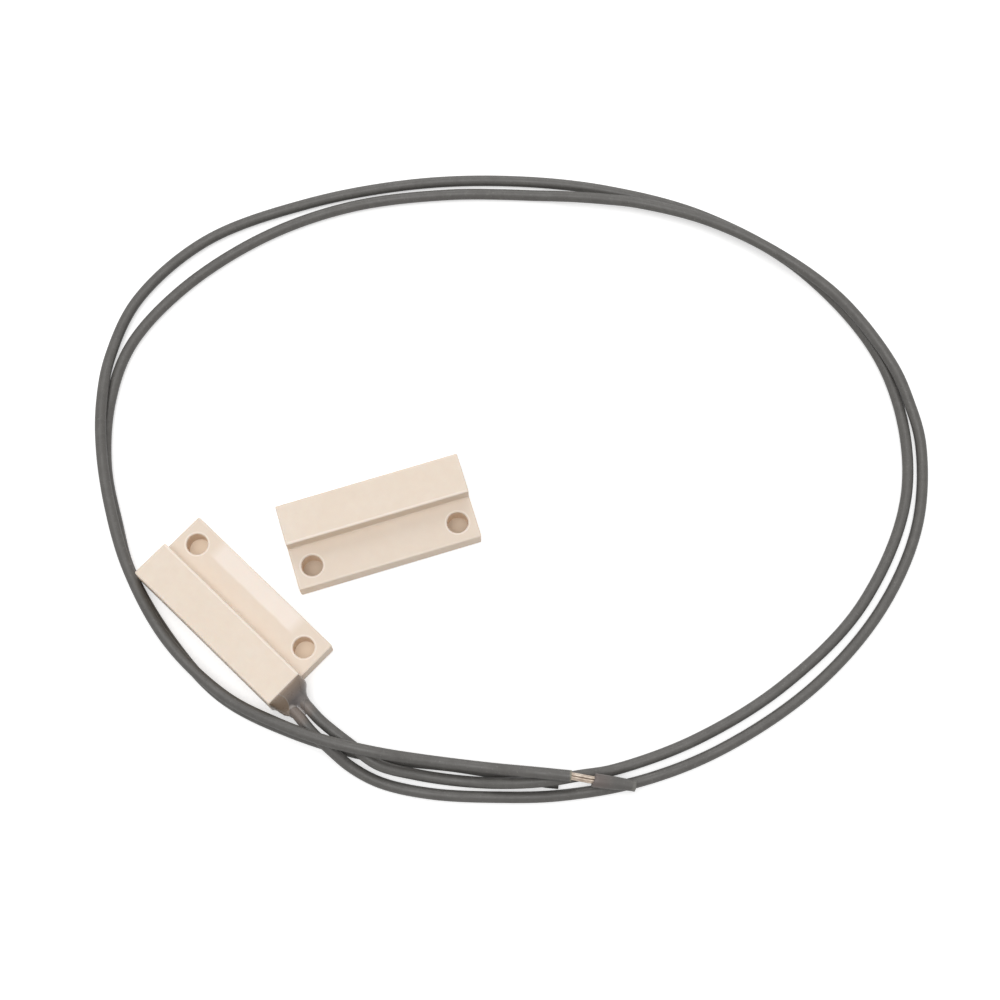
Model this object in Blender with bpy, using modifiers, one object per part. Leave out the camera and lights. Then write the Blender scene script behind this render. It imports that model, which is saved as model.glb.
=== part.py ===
"""Surface-mount magnetic door contact: a wired reed half and its loose magnet half.

Units are metres and +Z is up. The origin is the middle of the reed half's mounting face, +X runs along
that half towards its wires, and the raised bar of the section lies on the -Y side.
"""

import math

import bmesh
import bpy
from mathutils import Matrix, Vector

MM = 0.001

# Driving sizes of the two moulded shells, which come from one tool
HOUSING_LENGTH = 31.75 * MM
HOUSING_WIDTH = 14.3 * MM
BAR_WIDTH = 7.0 * MM
BAR_HEIGHT = 7.1 * MM
FLANGE_HEIGHT = 4.0 * MM
EDGE_RADIUS = 0.25 * MM
WALL = 0.75 * MM
END_WALL = 2.75 * MM
POCKET_CORNER = 0.5 * MM
SCREW_HOLE_DIAMETER = 3.6 * MM
SCREW_HOLE_CHAMFER = 0.15 * MM
SCREW_HOLE_FROM_END = 3.175 * MM
SCREW_HOLE_FROM_EDGE = 3.5 * MM

# Room left between a piece and what cuts or carries it
CLEARANCE = 0.25 * MM
SNUG = 0.15 * MM

# Lead wires
WIRE_DIAMETER = 1.9 * MM
WIRE_SNUG = 0.05 * MM
WIRE_PART = 0.2 * MM
WIRE_SIDESTEP = 0.2 * MM
WIRE_DROP = 0.15 * MM
WIRE_GRIP = 3.4 * MM
WIRE_STRAIGHT = 0.4 * MM
CONDUCTOR_DIAMETER = 1.0 * MM
FLOOR_GAP = 0.05 * MM
STEPS_PER_STRETCH = 24
WIRE_POINTS = 80
BEND_WEIGHT = 18.0 * MM

# Potting compound at the wire end
BOOT_LENGTH = 3.2 * MM
BOOT_TIP_WALL = 0.3 * MM
POTTING_STANDOFF = 1.0 * MM

# Reed capsule
GLASS_LENGTH = 14.0 * MM
GLASS_DIAMETER = 2.1 * MM
GLASS_WALL = 0.22 * MM
SEAL_LENGTH = 1.0 * MM
LEAD_DIAMETER = 0.6 * MM
LEAD_TURN_ROOM = 0.8 * MM
LEAD_TURN_STRAIGHT = 1.0 * MM
BLADE_WIDTH = 1.1 * MM
BLADE_THICKNESS = 0.2 * MM
BLADE_GAP = 0.3 * MM
BLADE_OVERLAP = 1.2 * MM
RETURN_SLEEVE_DIAMETER = 1.5 * MM

# Crimp ferrules that join the reed's leads to the wires
FERRULE_DIAMETER = 1.8 * MM
FERRULE_LENGTH = 2.6 * MM
FERRULE_PINCH = 0.1 * MM

# Magnet, which fills its pocket up to the plug
MAGNET_PLUG_LENGTH = 3.0 * MM
MAGNET_PLUG_RECESS = 0.3 * MM
MAGNET_EDGE = 0.3 * MM

# Where the magnet half lies beside the reed half
MAGNET_HALF_SPOT = (6.8 * MM, 27.3 * MM)
MAGNET_HALF_TURN = math.radians(240.9)

# Places that follow from the sizes above
BAR_CENTRE_Y = -HOUSING_WIDTH / 2 + BAR_WIDTH / 2
STEP_Y = -HOUSING_WIDTH / 2 + BAR_WIDTH
WIRE_END_X = HOUSING_LENGTH / 2
POCKET_END_X = END_WALL - HOUSING_LENGTH / 2
POCKET_WIDTH = BAR_WIDTH - 2 * WALL
POCKET_HEIGHT = BAR_HEIGHT - 2 * WALL
POCKET_CENTRE_Z = BAR_HEIGHT / 2
FILL_WIDTH = POCKET_WIDTH - 2 * CLEARANCE
FILL_HEIGHT = POCKET_HEIGHT - 2 * CLEARANCE
WIRE_PITCH = WIRE_DIAMETER + WIRE_PART
WIRE_BORE = WIRE_DIAMETER + 2 * WIRE_SNUG
WIRE_HEIGHT = POCKET_CENTRE_Z - WIRE_DROP
WIRES_CENTRE_Y = BAR_CENTRE_Y - WIRE_SIDESTEP
WIRE_A_Y = WIRES_CENTRE_Y + WIRE_PITCH / 2
WIRE_B_Y = WIRES_CENTRE_Y - WIRE_PITCH / 2
WIRE_START_X = WIRE_END_X - WIRE_GRIP
FERRULE_END_X = WIRE_START_X - CLEARANCE
FERRULE_MIDDLE_X = FERRULE_END_X - FERRULE_LENGTH / 2
LEAD_TURN_RADIUS = WIRE_PITCH / 2
LEAD_TURN_X = POCKET_END_X + LEAD_TURN_ROOM + LEAD_DIAMETER / 2 + LEAD_TURN_RADIUS
GLASS_START_X = LEAD_TURN_X + LEAD_TURN_STRAIGHT
GLASS_END_X = GLASS_START_X + GLASS_LENGTH
GLASS_MIDDLE_X = GLASS_START_X + GLASS_LENGTH / 2
POTTING_START_X = GLASS_END_X + POTTING_STANDOFF

# Routes of the two wires past their straight start in the potting, in millimetres
ROUTE_A_MM = [
    (22.96, -2.98, 3.32), (26.20, -2.75, 3.25), (29.43, -2.37, 3.19), (35.09, -1.53, 2.89),
    (40.38, 1.58, 1.66), (44.91, 4.81, 1.10), (49.06, 8.04, 1.71), (52.13, 10.67, 2.69),
    (55.04, 13.56, 3.20), (57.48, 16.42, 3.15), (60.11, 20.20, 2.10), (63.38, 24.78, 1.20),
    (69.63, 37.55, 1.04), (74.15, 54.76, 1.05), (74.40, 74.67, 1.12), (66.54, 94.67, 1.14),
    (49.77, 108.09, 1.02), (28.16, 111.62, 1.09), (8.76, 107.54, 1.04), (-7.41, 99.12, 1.06),
    (-21.03, 88.68, 1.03), (-33.26, 76.07, 1.03), (-44.27, 60.22, 1.04), (-52.02, 42.92, 1.11),
    (-52.65, 27.16, 1.11), (-48.36, 16.65, 1.54), (-43.00, 9.92, 2.99), (-37.26, 4.43, 3.17),
    (-28.87, -1.60, 3.18), (-18.25, -7.27, 3.09), (-4.49, -11.21, 3.22), (8.91, -11.08, 3.36),
    (18.64, -8.27, 4.67), (26.37, -4.93, 5.46), (33.47, -0.68, 5.19), (39.53, 3.76, 3.61),
    (48.60, 10.60, 3.30), (54.50, 15.00, 5.00), (59.30, 18.80, 4.90),
]
ROUTE_B_MM = [
    (23.35, -5.31, 3.28), (27.50, -5.22, 3.17), (32.15, -4.80, 1.71), (37.35, -3.20, 1.04),
    (44.33, 1.09, 1.04), (52.35, 8.00, 1.04), (59.89, 15.63, 1.12), (67.92, 26.72, 1.04),
    (74.04, 40.15, 1.10), (77.97, 58.39, 1.03), (77.27, 75.79, 1.04), (72.15, 90.82, 1.12),
    (63.29, 101.90, 1.33), (56.81, 105.94, 2.44), (50.15, 108.91, 2.97), (35.96, 111.59, 3.14),
    (21.88, 110.22, 3.21), (9.24, 106.33, 3.23), (-1.48, 100.51, 3.05), (-6.33, 97.12, 2.61),
    (-10.81, 93.81, 1.95), (-15.61, 90.01, 1.08), (-27.23, 79.06, 1.13), (-38.33, 65.13, 1.06),
    (-45.24, 50.38, 1.05), (-48.46, 33.92, 1.03), (-47.42, 20.53, 1.02), (-42.50, 10.99, 1.01),
    (-34.58, 2.64, 1.13), (-25.83, -3.05, 1.04), (-18.33, -7.18, 1.01), (-4.57, -10.75, 1.03),
    (8.41, -11.42, 1.08), (20.90, -7.55, 1.04), (33.05, -1.23, 1.04), (44.74, 7.53, 1.06),
    (53.77, 13.66, 1.04), (56.60, 15.55, 1.00), (58.36, 16.95, 1.00),
]

# Ends of the slug of insulation that is still on the first wire's strands, in millimetres
SLUG_ENDS_MM = [(62.3, 20.9, 4.2), (68.1, 25.1, 2.95)]

PARTS = "door_contact_switch"
CUTTERS = "cutters"


def clear_scene():
    """Remove whatever the file holds."""
    for item in list(bpy.data.objects):
        bpy.data.objects.remove(item, do_unlink=True)


def make_collection(name):
    """Return a new collection under the scene's own."""
    group = bpy.data.collections.new(name)
    bpy.context.scene.collection.children.link(group)
    return group


def make_material(name, colour, roughness, metallic=0.0):
    """Return a Principled material with the given finish."""
    material = bpy.data.materials.new(name)
    material.use_nodes = True
    shader = material.node_tree.nodes["Principled BSDF"]
    shader.inputs["Base Color"].default_value = (*colour, 1.0)
    shader.inputs["Roughness"].default_value = roughness
    shader.inputs["Metallic"].default_value = metallic
    return material


def add_object(name, data, material=None, parent=None):
    """Link an object for data into the parts, under a parent if there is one."""
    item = bpy.data.objects.new(name, data)
    bpy.data.collections[PARTS].objects.link(item)
    item.parent = parent
    if material:
        data.materials.append(material)
    return item


def make_cutter(item):
    """Move an object to the cutters, out of the render."""
    bpy.data.collections[PARTS].objects.unlink(item)
    bpy.data.collections[CUTTERS].objects.link(item)
    item.hide_render = True
    item.display_type = "WIRE"
    return item


def smooth_round_faces(mesh, angle=35.0):
    """Shade a mesh smooth apart from its sharp edges."""
    mesh.shade_smooth()
    mesh.set_sharp_from_angle(angle=math.radians(angle))


def box(name, low, high, material=None, parent=None):
    """Return a box between two corners."""
    size = Vector(high) - Vector(low)
    mesh = bpy.data.meshes.new(name)
    shape = bmesh.new()
    bmesh.ops.create_cube(shape, size=1.0)
    bmesh.ops.scale(shape, vec=size, verts=shape.verts)
    bmesh.ops.translate(shape, vec=(Vector(low) + Vector(high)) / 2, verts=shape.verts)
    shape.to_mesh(mesh)
    shape.free()
    return add_object(name, mesh, material, parent)


def rod_along_x(name, start_x, end_x, y, z, diameter, sides=20, material=None, parent=None):
    """Return a round rod that lies along X."""
    mesh = bpy.data.meshes.new(name)
    shape = bmesh.new()
    radius = diameter / 2
    length = end_x - start_x
    bmesh.ops.create_cone(
        shape, cap_ends=True, segments=sides, radius1=radius, radius2=radius, depth=length
    )
    shape.to_mesh(mesh)
    shape.free()
    smooth_round_faces(mesh)
    item = add_object(name, mesh, material, parent)
    item.location = ((start_x + end_x) / 2, y, z)
    item.rotation_euler = (0.0, math.pi / 2, 0.0)
    return item


def bevel(item, width, segments=2):
    """Round an object's sharp edges."""
    modifier = item.modifiers.new("edges", "BEVEL")
    modifier.width = width
    modifier.segments = segments
    modifier.limit_method = "ANGLE"
    modifier.angle_limit = math.radians(40)
    return modifier


def boolean(item, other, operation="DIFFERENCE"):
    """Cut an object with a cutter, or join the cutter to it."""
    modifier = item.modifiers.new(other.name, "BOOLEAN")
    modifier.operation = operation
    modifier.solver = "EXACT"
    modifier.object = other
    return modifier


def mesh_from(item):
    """Replace a curve object by the closed mesh that it evaluates to."""
    bpy.context.view_layer.update()
    evaluated = item.evaluated_get(bpy.context.evaluated_depsgraph_get())
    mesh = bpy.data.meshes.new_from_object(evaluated)
    shape = bmesh.new()
    shape.from_mesh(mesh)
    bmesh.ops.remove_doubles(shape, verts=shape.verts, dist=0.000001)
    shape.to_mesh(mesh)
    shape.free()
    smooth_round_faces(mesh)
    name = item.name
    place = item.matrix_world.copy()
    parent = item.parent
    bpy.data.objects.remove(item, do_unlink=True)
    solid = add_object(name, mesh, parent=parent)
    solid.matrix_world = place
    return solid


def flat_outline(name, points, thickness, material=None, parent=None):
    """Return a filled flat outline with a thickness, as a curve in its own XY plane."""
    curve = bpy.data.curves.new(name, "CURVE")
    curve.dimensions = "2D"
    curve.fill_mode = "BOTH"
    curve.extrude = thickness / 2
    spline = curve.splines.new("POLY")
    spline.points.add(len(points) - 1)
    for point, (x, y) in zip(spline.points, points):
        point.co = (x, y, 0.0, 1.0)
    spline.use_cyclic_u = True
    return add_object(name, curve, material, parent)


def tube_through(name, points, diameter, material, parent=None, resolution=2):
    """Return a round solid wire through the points."""
    curve = bpy.data.curves.new(name, "CURVE")
    curve.dimensions = "3D"
    curve.bevel_depth = diameter / 2
    curve.bevel_resolution = resolution
    curve.use_fill_caps = True
    spline = curve.splines.new("POLY")
    spline.points.add(len(points) - 1)
    for point, place in zip(spline.points, points):
        point.co = (*place, 1.0)
    return add_object(name, curve, material, parent)


def turned_along_x(name, profile, steps, material, y, z):
    """Return a turned solid from a closed profile of (x, radius) points.

    The profile runs along its outer side towards -X and back along its inner side.
    """
    mesh = bpy.data.meshes.new(name)
    shape = bmesh.new()
    ring = [shape.verts.new((radius, 0.0, x)) for x, radius in profile]
    for first, second in zip(ring, ring[1:] + ring[:1]):
        shape.edges.new((first, second))
    shape.to_mesh(mesh)
    shape.free()
    item = add_object(name, mesh, material)
    screw = item.modifiers.new("turn", "SCREW")
    screw.steps = steps
    screw.render_steps = steps
    screw.use_merge_vertices = True
    screw.merge_threshold = 0.000001
    screw.use_smooth_shade = True
    item.location = (0.0, y, z)
    item.rotation_euler = (0.0, math.pi / 2, 0.0)
    return item


def sleeve_profile(start_x, end_x, outer_diameter, bore_diameter):
    """Return the profile of a plain sleeve for turned_along_x."""
    outer = outer_diameter / 2
    inner = bore_diameter / 2
    return [(end_x, outer), (start_x, outer), (start_x, inner), (end_x, inner)]


def lofted_along_x(name, stations, sides, material, parent=None):
    """Return a solid through rounded sections.

    Each station is (x, y, z, half width, half height, squareness), where a squareness of 2 is an ellipse
    and a higher one nears a box.
    """
    mesh = bpy.data.meshes.new(name)
    shape = bmesh.new()
    rings = []
    for x, y, z, half_width, half_height, squareness in stations:
        ring = []
        for index in range(sides):
            angle = 2 * math.pi * (index + 0.5) / sides
            power = 2 / squareness
            across = math.copysign(abs(math.cos(angle)) ** power, math.cos(angle))
            up = math.copysign(abs(math.sin(angle)) ** power, math.sin(angle))
            ring.append(shape.verts.new((x, y + half_width * across, z + half_height * up)))
        rings.append(ring)
    for lower, upper in zip(rings, rings[1:]):
        for index in range(sides):
            following = (index + 1) % sides
            shape.faces.new((lower[index], lower[following], upper[following], upper[index]))
    shape.faces.new(list(reversed(rings[0])))
    shape.faces.new(rings[-1])
    bmesh.ops.recalc_face_normals(shape, faces=shape.faces)
    shape.to_mesh(mesh)
    shape.free()
    smooth_round_faces(mesh)
    return add_object(name, mesh, material, parent)


def smooth_route(points_mm):
    """Return points in metres along a smooth curve through a wire's route.

    The curve is a centripetal Catmull-Rom spline, and no point lies below the wire's resting height.
    """
    points = [Vector(point) * MM for point in points_mm]
    ends = [2 * points[0] - points[1], *points, 2 * points[-1] - points[-2]]
    lowest = WIRE_DIAMETER / 2 + FLOOR_GAP
    path = []
    for before, start, end, after in zip(ends, ends[1:], ends[2:], ends[3:]):
        t1 = math.sqrt((start - before).length)
        t2 = t1 + math.sqrt((end - start).length)
        t3 = t2 + math.sqrt((after - end).length)
        for step in range(STEPS_PER_STRETCH):
            t = t1 + (t2 - t1) * step / STEPS_PER_STRETCH
            a1 = before.lerp(start, t / t1)
            a2 = start.lerp(end, (t - t1) / (t2 - t1))
            a3 = end.lerp(after, (t - t2) / (t3 - t2))
            b1 = a1.lerp(a2, t / t2)
            b2 = a2.lerp(a3, (t - t1) / (t3 - t1))
            place = b1.lerp(b2, (t - t1) / (t2 - t1))
            place.z = max(place.z, lowest)
            path.append(place)
    path.append(points[-1])
    return path


def thinned_by_bend(path, count):
    """Return count points of a fine path, closer together where it bends."""
    cost = [0.0]
    for before, here, after in zip([path[0], *path], path, path[1:]):
        inward = here - before
        outward = after - here
        turn = inward.angle(outward, 0.0)
        cost.append(cost[-1] + outward.length + BEND_WEIGHT * turn)
    chosen = [path[0]]
    for place, spent in zip(path[1:-1], cost[1:]):
        if spent >= cost[-1] * len(chosen) / (count - 1):
            chosen.append(place)
    chosen.append(path[-1])
    return chosen


def housing(name, material, open_side=1, parent=None):
    """Return one moulded shell: a bar and a lower flange, two screw holes and a pocket open at one end.

    An open_side of 1 opens the pocket at the +X end, and -1 at the -X end.
    """
    back = -HOUSING_WIDTH / 2
    front = HOUSING_WIDTH / 2
    section = [
        (back, 0.0),
        (front, 0.0),
        (front, FLANGE_HEIGHT),
        (STEP_Y, FLANGE_HEIGHT),
        (STEP_Y, BAR_HEIGHT),
        (back, BAR_HEIGHT),
    ]
    outline = flat_outline(name, section, HOUSING_LENGTH, parent=parent)
    outline.rotation_euler = (math.pi / 2, 0.0, math.pi / 2)
    shell = mesh_from(outline)
    shell.data.shade_flat()
    shell.data.materials.append(material)
    bevel(shell, EDGE_RADIUS)
    for side in (-1, 1):
        boolean(shell, screw_hole(f"{name}_hole_{'far' if side < 0 else 'near'}", side, parent))
    boolean(shell, pocket(f"{name}_pocket", open_side, parent))
    return shell


def screw_hole(name, side, parent):
    """Return the cutter of one screw hole through the flange, with a chamfer at its upper rim."""
    mesh = bpy.data.meshes.new(name)
    shape = bmesh.new()
    radius = SCREW_HOLE_DIAMETER / 2
    profile = [
        (radius, -FLANGE_HEIGHT),
        (radius, FLANGE_HEIGHT - SCREW_HOLE_CHAMFER),
        (radius + 2 * SCREW_HOLE_CHAMFER, FLANGE_HEIGHT + SCREW_HOLE_CHAMFER),
    ]
    rings = []
    for ring_radius, z in profile:
        place = Matrix.Translation((0.0, 0.0, z))
        ring = bmesh.ops.create_circle(shape, segments=32, radius=ring_radius, matrix=place)
        rings.append({edge for corner in ring["verts"] for edge in corner.link_edges})
    for lower, upper in zip(rings, rings[1:]):
        bmesh.ops.bridge_loops(shape, edges=list(lower | upper))
    bmesh.ops.holes_fill(shape, edges=shape.edges)
    bmesh.ops.recalc_face_normals(shape, faces=shape.faces)
    shape.to_mesh(mesh)
    shape.free()
    smooth_round_faces(mesh)
    cutter = make_cutter(add_object(name, mesh, parent=parent))
    cutter.location = (
        side * (HOUSING_LENGTH / 2 - SCREW_HOLE_FROM_END),
        HOUSING_WIDTH / 2 - SCREW_HOLE_FROM_EDGE,
        0.0,
    )
    return cutter


def pocket(name, open_side, parent):
    """Return the cutter of the bar's pocket, which runs out through the shell's open end."""
    ends = (open_side * POCKET_END_X, open_side * (WIRE_END_X + POCKET_CORNER * 4))
    low = (min(ends), BAR_CENTRE_Y - POCKET_WIDTH / 2, POCKET_CENTRE_Z - POCKET_HEIGHT / 2)
    high = (max(ends), BAR_CENTRE_Y + POCKET_WIDTH / 2, POCKET_CENTRE_Z + POCKET_HEIGHT / 2)
    cutter = make_cutter(box(name, low, high, parent=parent))
    bevel(cutter, POCKET_CORNER)
    return cutter


def fill_block(name, start_x, end_x, corner, material, parent=None):
    """Return a block that fills the pocket's section between two places along it."""
    low = (min(start_x, end_x), BAR_CENTRE_Y - FILL_WIDTH / 2, POCKET_CENTRE_Z - FILL_HEIGHT / 2)
    high = (max(start_x, end_x), BAR_CENTRE_Y + FILL_WIDTH / 2, POCKET_CENTRE_Z + FILL_HEIGHT / 2)
    block = box(name, low, high, material, parent)
    bevel(block, corner)
    return block


def potting_boot(material):
    """Return the potting: a fill inside the pocket and a blob that tapers onto the two wires."""
    base_x = WIRE_END_X + CLEARANCE
    base_width = BAR_WIDTH / 2 - CLEARANCE
    base_height = BAR_HEIGHT / 2 - CLEARANCE
    tip_width = (WIRE_PITCH + WIRE_BORE) / 2 + BOOT_TIP_WALL
    tip_height = WIRE_BORE / 2 + BOOT_TIP_WALL
    base = (BAR_CENTRE_Y - base_width, BAR_CENTRE_Y + base_width)
    tip = (WIRES_CENTRE_Y - tip_width, WIRES_CENTRE_Y + tip_width)
    # (share of the length, share drawn in at wire B, at wire A and in height, squareness)
    taper = [
        (0.0, 0.0, 0.0, 0.0, 7.0),
        (0.14, 0.02, 0.02, 0.06, 6.0),
        (0.30, 0.10, 0.12, 0.30, 4.5),
        (0.46, 0.24, 0.40, 0.60, 3.6),
        (0.64, 0.46, 0.76, 0.82, 3.0),
        (0.82, 0.74, 0.95, 0.94, 2.7),
        (1.0, 1.0, 1.0, 1.0, 2.5),
    ]
    stations = []
    for along, wire_b_side, wire_a_side, drawn_down, squareness in taper:
        low = base[0] + wire_b_side * (tip[0] - base[0])
        high = base[1] + wire_a_side * (tip[1] - base[1])
        stations.append((
            base_x + along * (BOOT_LENGTH - CLEARANCE),
            (low + high) / 2,
            POCKET_CENTRE_Z + drawn_down * (WIRE_HEIGHT - POCKET_CENTRE_Z),
            (high - low) / 2,
            base_height + drawn_down * (tip_height - base_height),
            squareness,
        ))
    boot = lofted_along_x("potting_boot", stations, 28, material)
    fill = fill_block("potting_fill", POTTING_START_X, base_x + SNUG, POCKET_CORNER, None)
    boolean(boot, make_cutter(fill), "UNION")
    for label, y in (("a", WIRE_A_Y), ("b", WIRE_B_Y)):
        bore = rod_along_x(
            f"potting_bore_{label}",
            POTTING_START_X - CLEARANCE,
            WIRE_END_X + BOOT_LENGTH + CLEARANCE,
            y,
            WIRE_HEIGHT,
            WIRE_BORE,
        )
        boolean(boot, make_cutter(bore))
    return boot


def reed_glass(material):
    """Return the hollow glass capsule, drawn in to a seal round the lead at each end."""
    outer = GLASS_DIAMETER / 2
    inner = outer - GLASS_WALL
    bore = LEAD_DIAMETER / 2 + SNUG
    shoulder = 0.55 * outer
    outside = [
        (GLASS_END_X, bore + 0.25 * outer),
        (GLASS_END_X - 0.25 * shoulder, 0.84 * outer),
        (GLASS_END_X - shoulder, outer),
        (GLASS_START_X + shoulder, outer),
        (GLASS_START_X + 0.25 * shoulder, 0.84 * outer),
        (GLASS_START_X, bore + 0.25 * outer),
    ]
    inside = [
        (GLASS_START_X, bore),
        (GLASS_START_X + SEAL_LENGTH, bore),
        (GLASS_START_X + SEAL_LENGTH + inner - bore, inner),
        (GLASS_END_X - SEAL_LENGTH - inner + bore, inner),
        (GLASS_END_X - SEAL_LENGTH, bore),
        (GLASS_END_X, bore),
    ]
    return turned_along_x("reed_glass", outside + inside, 20, material, WIRE_B_Y, WIRE_HEIGHT)


def reed_blade(name, towards, material):
    """Return one spring blade of the contact, with its origin at the seal that it bends from."""
    root_x = GLASS_MIDDLE_X - towards * (GLASS_LENGTH / 2 - SEAL_LENGTH - SNUG - CLEARANCE)
    reach = abs(GLASS_MIDDLE_X - root_x) + BLADE_OVERLAP / 2
    half = BLADE_WIDTH / 2
    neck = LEAD_DIAMETER / 2
    outline = [
        (0.0, -neck),
        (0.12 * reach, -neck),
        (0.25 * reach, -half),
        (0.96 * reach, -half),
        (reach, -0.7 * half),
        (reach, 0.7 * half),
        (0.96 * reach, half),
        (0.25 * reach, half),
        (0.12 * reach, neck),
        (0.0, neck),
    ]
    blade = flat_outline(name, outline, BLADE_THICKNESS, material)
    rise = (BLADE_GAP + BLADE_THICKNESS) / 2
    blade.location = (root_x, WIRE_B_Y, WIRE_HEIGHT - towards * rise)
    blade.rotation_euler = (0.0, 0.0, 0.0 if towards > 0 else math.pi)
    return blade


def reed_leads(material):
    """Return the capsule's two lead wires: one straight out, one turned back beside the glass."""
    stop_x = FERRULE_MIDDLE_X - SNUG
    start_near = GLASS_END_X - SEAL_LENGTH - SNUG
    start_far = GLASS_START_X + SEAL_LENGTH + SNUG
    near = rod_along_x(
        "reed_lead_near", start_near, stop_x, WIRE_B_Y, WIRE_HEIGHT, LEAD_DIAMETER, 12, material
    )
    turn = []
    for step in range(9):
        angle = math.pi * step / 8
        turn.append((
            LEAD_TURN_X - LEAD_TURN_RADIUS * math.sin(angle),
            WIRES_CENTRE_Y - LEAD_TURN_RADIUS * math.cos(angle),
            WIRE_HEIGHT,
        ))
    route = [(start_far, WIRE_B_Y, WIRE_HEIGHT), *turn, (stop_x, WIRE_A_Y, WIRE_HEIGHT)]
    far = tube_through("reed_lead_far", route, LEAD_DIAMETER, material)
    return near, far


def return_sleeve(material):
    """Return the insulating sleeve over the lead that runs back beside the glass."""
    bore = LEAD_DIAMETER + 2 * SNUG
    profile = sleeve_profile(GLASS_START_X, GLASS_END_X, RETURN_SLEEVE_DIAMETER, bore)
    return turned_along_x("return_sleeve", profile, 12, material, WIRE_A_Y, WIRE_HEIGHT)


def crimp_ferrule(name, y, material):
    """Return one crimp ferrule, pinched in its two halves onto the lead and onto the wire's core."""
    outer = FERRULE_DIAMETER / 2
    pinched = outer - FERRULE_PINCH
    bore = CONDUCTOR_DIAMETER / 2 + SNUG
    profile = []
    for along, radius in (
        (0.50, outer), (0.42, outer), (0.36, pinched), (0.16, pinched), (0.10, outer),
        (-0.10, outer), (-0.16, pinched), (-0.36, pinched), (-0.42, outer), (-0.50, outer),
        (-0.50, bore), (0.50, bore),
    ):
        profile.append((FERRULE_MIDDLE_X + along * FERRULE_LENGTH, radius))
    return turned_along_x(name, profile, 16, material, y, WIRE_HEIGHT)


def splice(label, y, ferrule_material, strand_material):
    """Return the crimp ferrule on one wire and the stripped core that it holds."""
    ferrule = crimp_ferrule(f"crimp_ferrule_{label}", y, ferrule_material)
    start_x = FERRULE_MIDDLE_X + SNUG
    end_x = WIRE_START_X - SNUG
    core = rod_along_x(
        f"core_end_{label}", start_x, end_x, y, WIRE_HEIGHT, CONDUCTOR_DIAMETER, 12, strand_material
    )
    return ferrule, core


def lead_wire(name, start_y, route_mm, material):
    """Return one insulated wire along its route, straight out of its bore in the potting."""
    leave_x = WIRE_END_X + BOOT_LENGTH + WIRE_STRAIGHT
    straight = [(x / MM, start_y / MM, WIRE_HEIGHT / MM) for x in (WIRE_START_X, leave_x)]
    path = smooth_route([*straight, *route_mm])
    return tube_through(name, thinned_by_bend(path, WIRE_POINTS), WIRE_DIAMETER, material)


def stripped_end(strand_material, slug_material):
    """Return the bare strands past the first wire's end and the insulation slug left on them."""
    wire_end = Vector(ROUTE_A_MM[-1]) * MM
    slug_start = Vector(SLUG_ENDS_MM[0]) * MM
    slug_end = Vector(SLUG_ENDS_MM[1]) * MM
    strands_start = wire_end.lerp(slug_start, SNUG / (slug_start - wire_end).length)
    strands_path = [strands_start, slug_start, slug_start.lerp(slug_end, 0.7)]
    strands = tube_through("bare_strands", strands_path, CONDUCTOR_DIAMETER, strand_material)
    slug = mesh_from(tube_through("insulation_slug", [slug_start, slug_end], WIRE_DIAMETER, None))
    slug.data.materials.append(slug_material)
    beyond = CLEARANCE / (slug_end - slug_start).length
    bore_ends = [slug_start.lerp(slug_end, -beyond), slug_start.lerp(slug_end, 1 + beyond)]
    bore = mesh_from(tube_through("slug_bore", bore_ends, CONDUCTOR_DIAMETER + 2 * SNUG, None))
    boolean(slug, make_cutter(bore))
    return strands, slug


def magnet_half(shell_material, magnet_material, potting_material):
    """Return the magnet half's pieces, laid where it stands beside the reed half.

    Its pocket opens at the -X end, so its lengths along the pocket are turned round.
    """
    place = add_object("magnet_half_place", None)
    place.location = (*MAGNET_HALF_SPOT, 0.0)
    place.rotation_euler = (0.0, 0.0, MAGNET_HALF_TURN)
    bpy.context.view_layer.update()
    shell = housing("magnet_housing", shell_material, -1, place)
    plug_end = WIRE_END_X - MAGNET_PLUG_RECESS
    plug_start = plug_end - MAGNET_PLUG_LENGTH
    magnet_ends = (-POCKET_END_X - CLEARANCE, CLEARANCE - plug_start)
    magnet = fill_block("bar_magnet", *magnet_ends, MAGNET_EDGE, magnet_material, place)
    plug = fill_block("magnet_potting", -plug_start, -plug_end, POCKET_CORNER, potting_material, place)
    return shell, magnet, plug


def build():
    """Model both halves of the contact."""
    clear_scene()
    make_collection(PARTS)
    make_collection(CUTTERS)
    cream = make_material("cream_abs", (0.80, 0.68, 0.56), 0.42)
    potting = make_material("potting_compound", (0.20, 0.16, 0.13), 0.38)
    glass = make_material("reed_glass_green", (0.55, 0.72, 0.62), 0.05)
    nickel_iron = make_material("nickel_iron", (0.62, 0.60, 0.56), 0.30, 1.0)
    rhodium = make_material("blade_plating", (0.75, 0.74, 0.72), 0.22, 1.0)
    brass = make_material("tinned_brass", (0.72, 0.66, 0.52), 0.30, 1.0)
    strands = make_material("tinned_copper", (0.76, 0.72, 0.66), 0.30, 1.0)
    grey_pvc = make_material("grey_pvc", (0.14, 0.135, 0.13), 0.45)
    sleeve = make_material("clear_sleeve", (0.66, 0.66, 0.62), 0.35)
    alnico = make_material("alnico", (0.42, 0.41, 0.40), 0.45, 1.0)
    housing("switch_housing", cream)
    potting_boot(potting)
    reed_glass(glass)
    reed_blade("reed_blade_far", 1, rhodium)
    reed_blade("reed_blade_near", -1, rhodium)
    reed_leads(nickel_iron)
    return_sleeve(sleeve)
    splice("a", WIRE_A_Y, brass, strands)
    splice("b", WIRE_B_Y, brass, strands)
    lead_wire("lead_wire_a", WIRE_A_Y, ROUTE_A_MM, grey_pvc)
    lead_wire("lead_wire_b", WIRE_B_Y, ROUTE_B_MM, grey_pvc)
    stripped_end(strands, grey_pvc)
    magnet_half(cream, alnico, potting)


build()
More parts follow.
